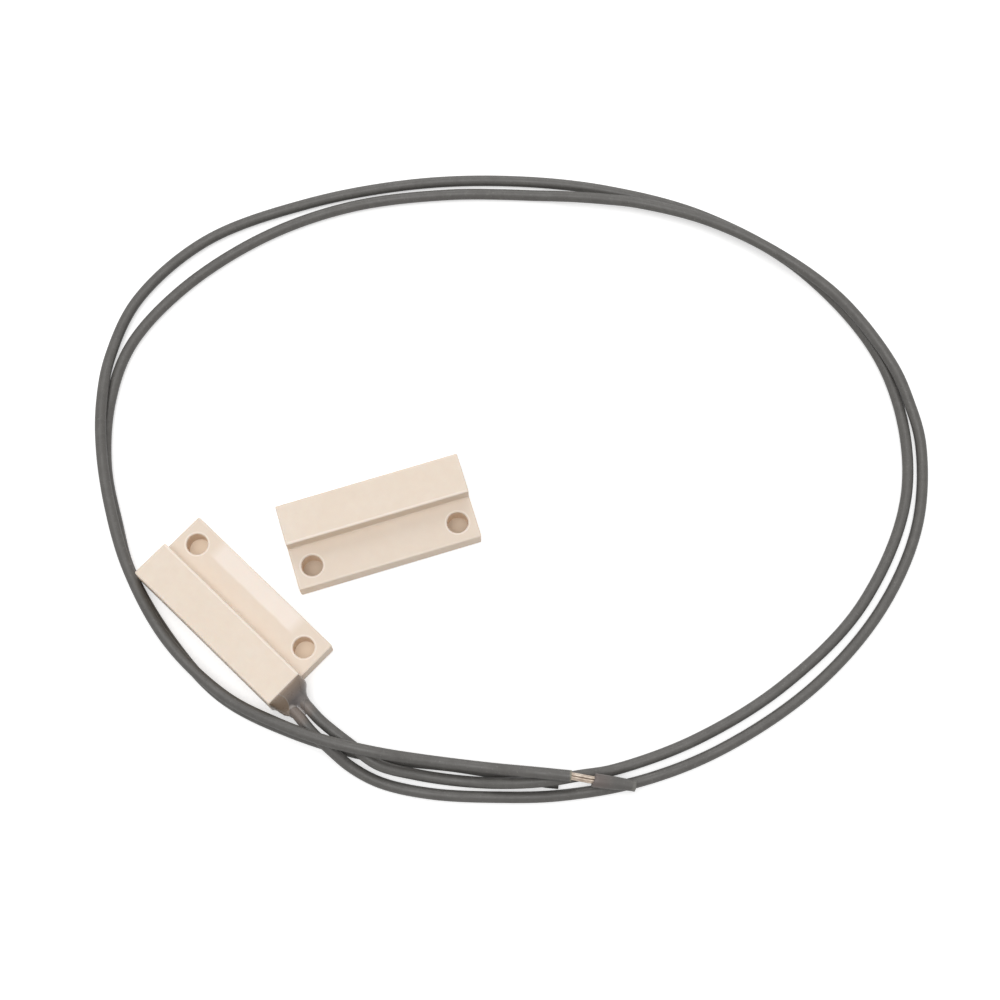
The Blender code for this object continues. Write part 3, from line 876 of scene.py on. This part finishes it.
@dataclass
class Shell(Assembly):
    """One moulded half, taken from its CAD solid with smooth hole walls and crisp edges that carry
    painted highlights.
    """

    node: str
    piece_name: str
    # Width of the strip that takes the painted edge highlight, and the height above which faces
    # count as upper faces
    highlight_width: float = 0.2 * MM
    upper_height: float = 3.5 * MM
    flange_below: float = 5.0 * MM
    facet_area: float = 3.0 * MM * MM
    near_step: float = 0.6 * MM
    # Strength of the painted highlight on the outer rims
    rim_highlight: float = 0.25
    weld: float = 0.0005 * MM
    flat_within: float = math.radians(1.0)
    smooth_below: float = 20.0

    def build(self) -> Object:
        """Copy the solid, merge its loose triangles and dress it.

        Returns:
            The dressed shell.
        """
        shape = bmesh.new()
        shape.from_mesh(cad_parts[self.node].data)
        bmesh.ops.remove_doubles(shape, verts=shape.verts, dist=self.weld)
        bmesh.ops.dissolve_limit(
            shape, angle_limit=self.flat_within, verts=shape.verts, edges=shape.edges
        )
        self.mark_highlights(shape)
        self.mark_zones(shape)
        bmesh.ops.triangulate(shape, faces=shape.faces)
        piece = finish_mesh(self.piece_name, shape, self.smooth_below)
        return self.stand_for(piece, Slot.CREAM, self.node)

    def mark_highlights(self, shape: BMesh) -> None:
        """Mark how strong the painted highlight is on the chamfers and on a narrow strip along the
        upper faces' rims.

        Args:
            shape: The shell.
        """
        layer = shape.faces.layers.float.new(EDGE)
        high = [face for face in shape.faces if face.calc_center_median().z > self.upper_height]
        sloped = [face for face in high if UPRIGHT < face.normal.z < SLOPED]
        tops = [face for face in high if face.normal.z > LEVEL]
        strip = bmesh.ops.inset_region(
            shape, faces=tops, thickness=self.highlight_width, use_even_offset=True, use_boundary=True
        )
        walls = [face for face in high if abs(face.normal.z) < UPRIGHT]
        inner = [face for face in walls if self.lowest(face) > self.upper_height]
        step = max(inner, key=lambda face: face.calc_area())
        for face in sloped + strip["faces"]:
            face[layer] = self.highlight_strength(face, step)

    def lowest(self, face: BMFace) -> float:
        """Return the height of a face's lowest corner."""
        return min(corner.co.z for corner in face.verts)

    def highlight_strength(self, face: BMFace, step: BMFace) -> float:
        """Say how strong the painted highlight is on a chamfer or on a face of the strip.

        Args:
            face: The face.
            step: The upright face between the flange and the bar's top.

        Returns:
            1 above the step and round the holes, 0 at the step's foot and little on the outer rims.
        """
        middle = face.calc_center_median()
        if abs((middle - step.calc_center_median()).dot(step.normal)) < self.near_step:
            return 1.0 if middle.z > self.flange_below else 0.0
        near = [other for edge in face.edges for other in edge.link_faces]
        if face.normal.z > LEVEL:
            sloped = [other for other in near if UPRIGHT < other.normal.z < SLOPED]
            near += [other for slope in sloped for edge in slope.edges for other in edge.link_faces]
        walls = [other for other in near if abs(other.normal.z) < UPRIGHT]
        by_hole = any(wall.calc_area() < self.facet_area for wall in walls)
        return 1.0 if by_hole else self.rim_highlight

    def mark_zones(self, shape: BMesh) -> None:
        """Mark the zone of each face.

        Args:
            shape: The shell.
        """
        layer = shape.faces.layers.float.new(ZONE)
        for face in shape.faces:
            zone = Zone.PLAIN
            if abs(face.normal.z) < UPRIGHT:
                zone = Zone.STEP if self.lowest(face) > self.upper_height else Zone.WALL
            elif face.normal.z > UPRIGHT and face.calc_center_median().z < self.flange_below:
                zone = Zone.FLANGE
            face[layer] = zone.value


@dataclass
class Lead(Assembly):
    """One insulated lead wire on its route."""

    piece_name: str
    node: str
    route_mm: list[Point]
    length: float
    with_pieces: list[Object] = field(default_factory=list)
    diameter: float = 1.9 * MM
    spacing: float = 0.8 * MM
    clearance: float = 0.05 * MM

    def centre_line(self) -> list[Vector]:
        """Draw the wire's centre line, never lower than it can lie.

        Returns:
            Its evenly spaced points.
        """
        lowest = self.diameter / 2 + self.clearance
        path = smooth_path([Vector(point) * MM for point in self.route_mm])
        for point in path:
            point.z = max(point.z, lowest)
        return spaced(path, self.spacing)

    def build(self) -> Object:
        """Returns:
            The wire.
        """
        path = self.centre_line()
        wire = tube(self.piece_name, path, self.diameter)
        self.stand_for(wire, Slot.INSULATION, self.node)
        return wire


@dataclass
class StrippedEnd(Assembly):
    """The first wire's bare strands and the slug of insulation left on them."""

    wire_end: Vector
    slug_start: Vector
    slug_end: Vector
    strand_count: int = 7
    strand_diameter: float = 0.43 * MM
    strand_step: float = 0.12 * MM
    strand_tuck: float = 1.0 * MM
    strand_reach: float = 0.7
    strand_fineness: int = 2
    strand_smooth: float = 60.0
    route_steps: int = 12
    weld: float = 0.0001 * MM
    slug_smooth: float = 50.0
    slug_radius: float = 0.97 * MM
    slug_bore: float = 0.64 * MM
    # Corners as share of the radius, share of the length and millimetres past it
    slug_outside: tuple[Point, ...] = (
        (1.08, 0.0, 0.0),
        (1.16, 0.0, 0.10),
        (1.18, 0.12, 0.0),
        (1.16, 0.35, 0.0),
        (1.08, 0.60, 0.0),
        (0.97, 0.84, 0.0),
        (0.98, 1.0, -0.30),
        (1.00, 1.0, -0.06),
        (0.95, 1.0, 0.0),
    )
    slug_inside: tuple[Point, ...] = ((1.12, 1.0, 0.0), (1.0, 1.0, -0.25), (1.0, 0.0, 0.0))
    slug_slant: float = math.radians(12.0)
    slanted_share: float = 0.3

    def strands(self) -> Object:
        """Lay the strands from inside the wire to inside the slug.

        Returns:
            The strands as one piece.
        """
        inward = (self.slug_start - self.wire_end).normalized()
        start = self.wire_end - inward * self.strand_tuck
        end = self.slug_start.lerp(self.slug_end, self.strand_reach)
        route = smooth_path([start, self.wire_end, self.slug_start, end], self.route_steps)
        path = spaced(route, self.strand_step)
        bundle = bmesh.new()
        for index in range(self.strand_count):
            offset = self.strand_offset(path[-1] - path[0], index)
            line = [place + offset for place in path]
            strand = tube(f"strand_{index}", line, self.strand_diameter, self.strand_fineness)
            absorb(bundle, strand)
        bmesh.ops.remove_doubles(bundle, verts=bundle.verts, dist=self.weld)
        bmesh.ops.recalc_face_normals(bundle, faces=bundle.faces)
        piece = finish_mesh("stripped_strands", bundle, self.strand_smooth)
        return self.stand_for(piece, Slot.STRAND, "bare_strands")

    def strand_offset(self, run: Vector, index: int) -> Vector:
        """Place one strand: the first on the bundle's centre line, the others round it.

        Args:
            run: The way from the bundle's start to its end.
            index: Number of the strand.

        Returns:
            Its distance from the centre line.
        """
        if index == 0:
            return Vector()
        along = run.normalized()
        side = along.cross(Vector((0.0, 0.0, 1.0))).normalized()
        angle = 2 * math.pi * index / (self.strand_count - 1)
        return (side * math.cos(angle) + side.cross(along) * math.sin(angle)) * self.strand_diameter

    def slug(self) -> Object:
        """Turn the slug: a short tube with a nicked start and a slightly flared far end.

        Returns:
            The slug.
        """
        length = (self.slug_end - self.slug_start).length
        profile = []
        for radius, corners in (
            (self.slug_radius, self.slug_outside),
            (self.slug_bore, self.slug_inside),
        ):
            for share, reach, past in corners:
                profile.append((radius * share, length * reach + past * MM))
        shape = turned(profile)
        self.cut_at_a_slant(shape, length)
        aim(shape, self.slug_start, self.slug_end)
        piece = finish_mesh("insulation_stub", shape, self.slug_smooth)
        self.stand_for(piece, Slot.INSULATION, "insulation_slug")
        self.finishes.dress(piece, Slot.INSULATION, self.finishes.slug)
        return piece

    def cut_at_a_slant(self, shape: BMesh, length: float) -> None:
        """Lean the slug's start, where the blade went through it askew.

        Args:
            shape: The slug, standing on the origin along Z.
            length: Its length.
        """
        for corner in shape.verts:
            fade = max(0.0, 1 - corner.co.z / (length * self.slanted_share))
            corner.co.z += corner.co.x * math.tan(self.slug_slant) * fade

    def build(self) -> list[Object]:
        """Make the strands and the slug."""
        return [self.strands(), self.slug()]


@dataclass(frozen=True)
class Section:
    """One cross-section of the potting, square to the bar's length, in millimetres."""

    x: float
    y: Span
    z: Span
    squareness: float
    waist: float = 0.0
    lean: float = 0.0


@dataclass(frozen=True)
class Lip:
    """A raised rim of resin round one wire, cut askew, in millimetres."""

    centre: Point
    radius: float
    thickness: float
    run_with_height: float
    run_with_side: float


@dataclass
class PottingBlob(Assembly):
    """The resin that closes the bar's end, creeps onto the two wires and ends there in two rims."""

    sections: tuple[Section, ...] = (
        Section(15.60, (-7.00, -0.30), (0.08, 6.95), 9.0),
        Section(15.82, (-7.12, -0.22), (0.05, 7.03), 9.0),
        Section(15.98, (-7.10, -0.16), (0.06, 7.02), 8.0),
        Section(16.30, (-6.94, -0.10), (0.30, 6.88), 5.0),
        Section(16.80, (-6.80, -0.06), (0.75, 6.40), 3.8),
        Section(17.15, (-6.74, -0.20), (1.15, 6.00), 3.5),
        Section(17.50, (-6.70, -0.56), (1.35, 5.60), 3.3, 0.0, 0.05),
        Section(17.90, (-6.60, -1.00), (1.60, 5.14), 3.1, 0.0, 0.15),
        Section(18.30, (-6.50, -1.32), (1.70, 4.70), 2.9, 0.04, 0.28),
        Section(18.70, (-6.26, -1.56), (2.00, 4.36), 2.7, 0.12, 0.36),
        Section(19.10, (-5.98, -1.68), (2.25, 4.20), 2.5, 0.26, 0.34),
        Section(19.50, (-5.80, -1.78), (2.40, 4.12), 2.4, 0.40, 0.26),
        Section(19.90, (-5.60, -1.94), (2.55, 4.04), 2.3, 0.50, 0.18),
    )
    lips: tuple[Lip, ...] = (
        Lip((19.06, -4.90, 3.40), 0.99, 0.15, -0.72, 0.10),
        Lip((19.55, -2.82, 3.40), 0.97, 0.06, -0.10, -0.80),
    )
    web_start: Vector = field(default_factory=lambda: Vector((18.6, -3.92, 3.66)))
    web_end: Vector = field(default_factory=lambda: Vector((20.80, -3.98, 3.42)))
    web_thickness: Span = (0.50, 0.36)
    web_segments: int = 20
    rim_corners: int = 12
    rim_height: float = 1.8
    segments: int = 48
    enlarged: float = 10.0
    voxel: float = 0.06 * MM
    smoothing: float = 0.5
    smoothing_rounds: int = 6

    def build(self) -> None:
        """Make the resin and let it stand for its solid."""
        self.stand_for(self.melted(), Slot.POTTING, "potting_boot")

    def melted(self) -> Object:
        """Melt the blob, its rims and the web into one skin.

        The work is done enlarged, because the remesher's voxels can't be finer than a tenth of a
        millimetre.

        Returns:
            The resin as one smooth closed piece.
        """
        shape = self.blob()
        for part in (*map(self.rim, self.lips), self.web()):
            self.add_part(shape, part)
        bmesh.ops.scale(shape, vec=(self.enlarged,) * 3, verts=shape.verts)
        draft = finish_mesh("potting_draft", shape, ALL_SMOOTH)
        skin = draft.modifiers.new("skin", "REMESH")
        skin.mode = "VOXEL"
        skin.voxel_size = self.voxel * self.enlarged
        settle = draft.modifiers.new("settle", "SMOOTH")
        settle.factor = self.smoothing
        settle.iterations = self.smoothing_rounds
        resin = bmesh.new()
        absorb(resin, draft)
        bmesh.ops.scale(resin, vec=(1 / self.enlarged,) * 3, verts=resin.verts)
        bmesh.ops.recalc_face_normals(resin, faces=resin.faces)
        return finish_mesh("potting_blob", resin, ALL_SMOOTH)

    def add_part(self, shape: BMesh, part: BMesh) -> None:
        """Put one closed part into the same mesh as the rest, and free it.

        Args:
            shape: The mesh that takes it.
            part: The part.
        """
        mesh = bpy.data.meshes.new("part")
        part.to_mesh(mesh)
        part.free()
        shape.from_mesh(mesh)
        bpy.data.meshes.remove(mesh)

    def blob(self) -> BMesh:
        """Loft the blob through its sections and close both ends.

        Returns:
            The blob, with its faces outwards.
        """
        shape = bmesh.new()
        rings = [self.ring(shape, section) for section in self.sections]
        for before, after in zip(rings, rings[1:]):
            bmesh.ops.bridge_loops(shape, edges=before + after)
        for end in (rings[0], rings[-1]):
            bmesh.ops.edgeloop_fill(shape, edges=end)
        bmesh.ops.recalc_face_normals(shape, faces=shape.faces)
        return shape

    def ring(self, shape: BMesh, section: Section) -> list[BMEdge]:
        """Draw one section as a rounded box, pinched between the wires and higher on one side.

        Args:
            shape: The mesh that takes it.
            section: Its size and form.

        Returns:
            The edges of the section.
        """
        made = bmesh.ops.create_circle(shape, segments=self.segments, radius=1.0)
        low = Vector((section.y[0], section.z[0])) * MM
        high = Vector((section.y[1], section.z[1])) * MM
        middle, half = (low + high) / 2, (high - low) / 2
        power = 2 / section.squareness
        for corner in made["verts"]:
            side = math.copysign(abs(corner.co.x) ** power, corner.co.x)
            rise = math.copysign(abs(corner.co.y) ** power, corner.co.y)
            pinch = 1 - section.waist * (1 - side * side) ** 3
            height = middle.y + half.y * rise * pinch + section.lean * MM * side * max(rise, 0.0)
            corner.co = (section.x * MM, middle.x + half.x * side, height)
        return list({edge for corner in made["verts"] for edge in corner.link_edges})

    def rim(self, lip: Lip) -> BMesh:
        """Turn one raised rim and shear it askew along its wire.

        Args:
            lip: Its size, place and slant.

        Returns:
            The rim.
        """
        profile = []
        for corner in range(self.rim_corners):
            turn = 2 * math.pi * corner / self.rim_corners
            radius = (lip.radius + lip.thickness * math.cos(turn)) * MM
            profile.append((radius, self.rim_height * lip.thickness * math.sin(turn) * MM))
        shape = turned(profile)
        aim(shape, Vector((0.0, 0.0, 0.0)), Vector((1.0, 0.0, 0.0)))
        slant = Matrix.Identity(4)
        slant[0][1] = lip.run_with_side
        slant[0][2] = lip.run_with_height
        place = Matrix.Translation(Vector(lip.centre) * MM)
        bmesh.ops.transform(shape, matrix=place @ slant, verts=shape.verts)
        return shape

    def web(self) -> BMesh:
        """Shape the web of resin in the crotch of the two wires, thinner towards its tip.

        Returns:
            The web.
        """
        thick, thin = self.web_thickness
        shape = bmesh.new()
        run = self.web_end - self.web_start
        bmesh.ops.create_cone(
            shape,
            cap_ends=True,
            segments=self.web_segments,
            radius1=thick * MM,
            radius2=thin * MM,
            depth=run.length * MM,
        )
        bmesh.ops.translate(shape, vec=(0.0, 0.0, run.length * MM / 2), verts=shape.verts)
        aim(shape, self.web_start * MM, self.web_end * MM)
        return shape


@dataclass
class InnerWorks(Assembly):
    """The pieces inside the two halves, which keep their CAD shapes."""

    nodes: dict[Slot, tuple[str, ...]] = field(
        default_factory=lambda: {
            Slot.GLASS: ("reed_glass",),
            Slot.BLADE: ("reed_blade_near", "reed_blade_far"),
            Slot.LEAD: ("reed_lead_near", "reed_lead_far"),
            Slot.SLEEVE: ("return_sleeve",),
            Slot.CRIMP: ("crimp_ferrule_a", "crimp_ferrule_b"),
            Slot.STRAND: ("core_end_a", "core_end_b"),
            Slot.MAGNET: ("bar_magnet",),
            Slot.POTTING: ("magnet_potting",),
        }
    )

    def build(self) -> None:
        """Dress each inner node."""
        for slot, nodes in self.nodes.items():
            for node in nodes:
                self.finishes.dress(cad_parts[node], slot)
                log.info("%s keeps its solid, dressed as %s", node, slot.value)


@dataclass(frozen=True)
class Glow:
    """Painted shade and a painted warm glow on the table under one of the screw holes."""

    spot_mm: Span
    strength: float


@dataclass
class Studio:
    """White table with painted shade and a painted warm glow under the screw holes, soft overhead
    light and a white surround.
    """

    floor_size: float = 3.0
    floor_colour: Colour = (0.78, 0.78, 0.78, 1.0)
    floor_lift: float = 0.50
    mirrored_lift: float = 0.22
    glow_reach: float = 1.75 * MM
    glow_fade: float = 0.2 * MM
    # Spots of painted shade and painted warm glow under the four screw holes
    glows: tuple[Glow, ...] = (
        Glow((-12.7, 3.65), 0.26),
        Glow((12.7, 3.65), 0.24),
        Glow((3.81, 14.43), 0.05),
        Glow((16.17, 36.62), 0.08),
    )
    # Colour of the painted glow, and the painted shade of the table under the holes
    glow_colour: Colour = (1.0, 0.80, 0.60, 1.0)
    glow_shade: Colour = (0.58, 0.49, 0.40, 1.0)
    surround: float = 0.37
    surround_colour: Colour = (1.0, 0.995, 0.985, 1.0)
    key_power: float = 15.6
    key_size: float = 1.1
    key_way: Vector = field(default_factory=lambda: Vector((0.02, -0.14, 0.99)))
    back_power: float = 9.0
    back_size: float = 1.2
    back_way: Vector = field(default_factory=lambda: Vector((-0.57, 0.59, 0.57)))
    lamp_distance: float = 1.8
    target: Vector = field(default_factory=lambda: Vector((0.01, 0.04, 0.0)))

    def build(self) -> None:
        """Make the floor, the lamp and the surround."""
        self.make_floor()
        self.make_lamp("key_softbox", self.key_way, self.key_power, self.key_size)
        self.make_lamp("back_softbox", self.back_way, self.back_power, self.back_size)
        self.make_surround()
        log.info("studio made")

    def make_floor(self) -> None:
        """Lay a white table that keeps the shadows, lift it to white for the camera alone, and
        paint shade and a warm glow under the screw holes.
        """
        shape = bmesh.new()
        bmesh.ops.create_grid(shape, x_segments=1, y_segments=1, size=self.floor_size)
        floor = finish_mesh("table", shape)
        graph = ShaderGraph("white_table")
        graph.emboss(Relief(1.5, 2.0, 0.01, 0.2))
        rays = graph.add("LightPath").outputs
        lift, under = self.lift(graph)
        open_table = graph.product(rays["Is Camera Ray"], lift)
        other = graph.math("MAXIMUM", rays["Is Glossy Ray"], rays["Is Transmission Ray"])
        mirrored = graph.product(other, self.mirrored_lift)
        # Under the screw holes: painted shade in the colour and a painted warm glow in the emission
        graph.set(
            Base_Color=graph.tint(under, self.floor_colour, self.glow_shade),
            Roughness=0.9,
            Specular_IOR_Level=0.1,
            Emission_Strength=graph.math("MAXIMUM", open_table, mirrored),
            Emission_Color=graph.tint(under, WHITE, self.glow_colour),
        )
        floor.data.materials.append(graph.material)

    def lift(self, graph: ShaderGraph) -> tuple[NodeSocket, NodeSocket]:
        """Lift the open table to white, and lift it less under the screw holes, where it takes a
        painted warm glow.

        Args:
            graph: The table's nodes.

        Returns:
            The strength of the lift, and the mask of what lies under a hole.
        """
        under = graph.math("ADD", 0.0, 0.0)
        lift = graph.math("ADD", self.floor_lift, 0.0)
        for glow in self.glows:
            mask = graph.near(Vector((*glow.spot_mm, 0.0)) * MM, self.glow_reach, self.glow_fade)
            under = graph.math("MAXIMUM", under, mask)
            drop = graph.product(mask, self.floor_lift - glow.strength)
            lift = graph.math("SUBTRACT", lift, drop)
        return lift, under

    def make_lamp(self, name: str, way: Vector, power: float, size: float) -> None:
        """Hang a square softbox that faces the object.

        Args:
            name: Name of the lamp.
            way: Direction from the object towards it.
            power: Its power in watts.
            size: Length of its side.
        """
        place = self.target + way.normalized() * self.lamp_distance
        light = bpy.data.lights.new(name, "AREA")
        light.shape = "SQUARE"
        light.size = size
        light.energy = power
        lamp = add_piece(name, light)
        lamp.location = place
        lamp.rotation_euler = (self.target - place).to_track_quat("-Z", "Y").to_euler()

    def make_surround(self) -> None:
        """Light the scene evenly, and show white to the camera, reflections and glass."""
        world = bpy.data.worlds.new("surround")
        bpy.context.scene.world = world
        world.use_nodes = True
        graph = NodeGraph(world.node_tree)
        even = graph.tree.nodes["Background"]
        graph.feed(even.inputs["Color"], self.surround_colour)
        graph.feed(even.inputs["Strength"], self.surround)
        white = graph.add("Background", in_Color=WHITE, in_Strength=1.0)
        rays = graph.add("LightPath").outputs
        seen = graph.math("MAXIMUM", rays["Is Camera Ray"], rays["Is Transmission Ray"])
        seen = graph.math("MAXIMUM", seen, rays["Is Glossy Ray"])
        blend = graph.add("MixShader")
        for target, value in zip(blend.inputs, (seen, even.outputs[0], white.outputs[0])):
            graph.feed(target, value)
        graph.feed(graph.tree.nodes["World Output"].inputs["Surface"], blend.outputs[0])


@dataclass
class PhotoCamera:
    """The camera at the photograph's viewing angle."""

    place: Vector = field(default_factory=lambda: Vector((80.669, -20.125, 338.074)) * MM)
    right: Vector = field(default_factory=lambda: Vector((0.72067, 0.69328, 0.0)))
    up: Vector = field(default_factory=lambda: Vector((-0.66965, 0.69612, 0.25882)))
    focal_px: float = 2049.98
    picture_px: float = 1000.0
    sensor_mm: float = 36.0
    clip: Span = (0.01, 20.0)

    def build(self) -> Object:
        """Make the camera and hand it to the scene.

        Returns:
            The camera.
        """
        data = bpy.data.cameras.new("photo_camera")
        data.sensor_fit = "HORIZONTAL"
        data.sensor_width = self.sensor_mm
        data.lens = self.focal_px / self.picture_px * self.sensor_mm
        data.clip_start, data.clip_end = self.clip
        camera = add_piece("photo_camera", data)
        back = self.right.cross(self.up).normalized()
        axes = Matrix((self.right.normalized(), self.up.normalized(), back)).transposed()
        camera.matrix_world = Matrix.Translation(self.place) @ axes.to_4x4()
        bpy.context.scene.camera = camera
        bpy.context.scene.view_settings.view_transform = "Standard"
        log.info("camera at %s", tuple(round(value, 4) for value in self.place))
        return camera


# Routes of the two wires in millimetres, as in the part
ROUTE_A_MM: list[Point] = [
    (12.475, -2.8, 3.4), (19.475, -2.8, 3.4), (22.96, -2.98, 3.32), (26.20, -2.75, 3.25),
    (29.43, -2.37, 3.19), (35.09, -1.53, 2.89), (40.38, 1.58, 1.66), (44.91, 4.81, 1.10),
    (49.06, 8.04, 1.71), (52.13, 10.67, 2.69), (55.04, 13.56, 3.20), (57.48, 16.42, 3.15),
    (60.11, 20.20, 2.10), (63.38, 24.78, 1.20), (69.63, 37.55, 1.04), (74.15, 54.76, 1.05),
    (74.40, 74.67, 1.12), (66.54, 94.67, 1.14), (49.77, 108.09, 1.02), (28.16, 111.62, 1.09),
    (8.76, 107.54, 1.04), (-7.41, 99.12, 1.06), (-21.03, 88.68, 1.03), (-33.26, 76.07, 1.03),
    (-44.27, 60.22, 1.04), (-52.02, 42.92, 1.11), (-52.65, 27.16, 1.11), (-48.36, 16.65, 1.54),
    (-43.00, 9.92, 2.99), (-37.26, 4.43, 3.17), (-28.87, -1.60, 3.18), (-18.25, -7.27, 3.09),
    (-4.49, -11.21, 3.22), (8.91, -11.08, 3.36), (18.64, -8.27, 4.67), (26.37, -4.93, 5.46),
    (33.47, -0.68, 5.19), (39.53, 3.76, 3.61), (48.60, 10.60, 3.30), (54.50, 15.00, 5.00),
    (59.30, 18.80, 4.90),
]
ROUTE_B_MM: list[Point] = [
    (12.475, -4.9, 3.4), (19.475, -4.9, 3.4), (23.35, -5.31, 3.28), (27.50, -5.22, 3.17),
    (32.15, -4.80, 1.71), (37.35, -3.20, 1.04), (44.33, 1.09, 1.04), (52.35, 8.00, 1.04),
    (59.89, 15.63, 1.12), (67.92, 26.72, 1.04), (74.04, 40.15, 1.10), (77.97, 58.39, 1.03),
    (77.27, 75.79, 1.04), (72.15, 90.82, 1.12), (63.29, 101.90, 1.33), (56.81, 105.94, 2.44),
    (50.15, 108.91, 2.97), (35.96, 111.59, 3.14), (21.88, 110.22, 3.21), (9.24, 106.33, 3.23),
    (-1.48, 100.51, 3.05), (-6.33, 97.12, 2.61), (-10.81, 93.81, 1.95), (-15.61, 90.01, 1.08),
    (-27.23, 79.06, 1.13), (-38.33, 65.13, 1.06), (-45.24, 50.38, 1.05), (-48.46, 33.92, 1.03),
    (-47.42, 20.53, 1.02), (-42.50, 10.99, 1.01), (-34.58, 2.64, 1.13), (-25.83, -3.05, 1.04),
    (-18.33, -7.18, 1.01), (-4.57, -10.75, 1.03), (8.41, -11.42, 1.08), (20.90, -7.55, 1.04),
    (33.05, -1.23, 1.04), (44.74, 7.53, 1.06), (53.77, 13.66, 1.04), (56.60, 15.55, 1.00),
    (58.36, 16.95, 1.00),
]


def write_sizes() -> None:
    """Log that no sizes are written."""
    log.info("sizes written")


def main() -> None:
    """Build the camera, the cords and the rest of the object in order."""
    finishes = Finishes()
    PhotoCamera().build()
    stripped = StrippedEnd(
        finishes,
        wire_end=Vector(ROUTE_A_MM[-1]) * MM,
        slug_start=Vector((62.3, 20.9, 4.2)) * MM,
        slug_end=Vector((67.8, 25.05, 3.15)) * MM,
    )
    end_pieces = stripped.build()
    Lead(finishes, "lead_a", "lead_wire_a", ROUTE_A_MM, 0.445, end_pieces).build()
    Lead(finishes, "lead_b", "lead_wire_b", ROUTE_B_MM, 0.444).build()
    Shell(finishes, "switch_housing", "switch_shell").build()
    Shell(finishes, "magnet_housing", "magnet_shell").build()
    PottingBlob(finishes).build()
    InnerWorks(finishes).build()
    Studio().build()
    write_sizes()


if __name__ == "__main__":
    main()
